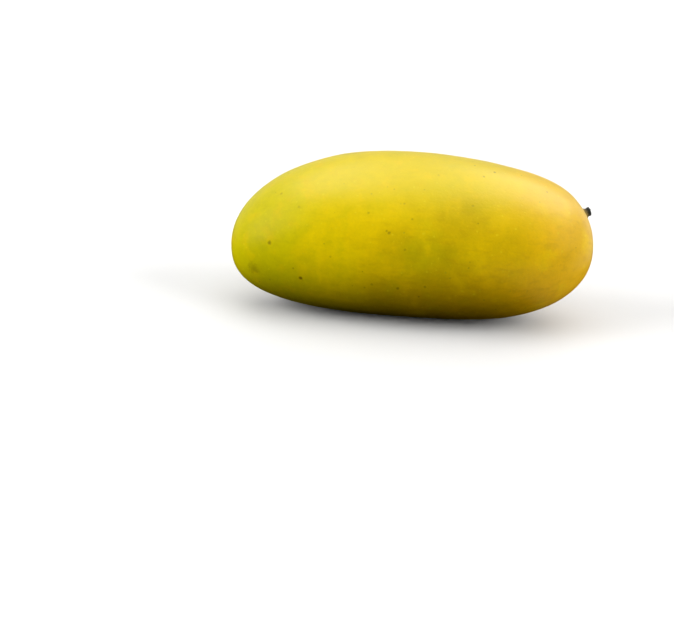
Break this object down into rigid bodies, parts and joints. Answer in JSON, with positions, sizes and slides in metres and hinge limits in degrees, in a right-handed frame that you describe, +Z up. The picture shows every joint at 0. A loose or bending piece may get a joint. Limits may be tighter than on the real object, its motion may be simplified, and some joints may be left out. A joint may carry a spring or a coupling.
{
  "type": "mango",
  "caption": "Whole ripe long mango lying on its side, yellow-green at the apex and peach-yellow at the stalk end, with a short woody stalk stump.",
  "frame": {"origin": "on the surface that the fruit lies on, under the middle of its bounding box", "axes": "+X along the fruit from the apex to the stalk end, +Y towards the far cheek, +Z up"},
  "size_m": [0.1296, 0.0556, 0.0582],
  "materials": {
    "mango_skin": "waxy satin",
    "stalk_wood": "dry and matt"
  },
  "bodies": {
    "root": {"mango_fruit": "mango_skin", "stem_stub": "stalk_wood"}
  },
  "joints": []
}
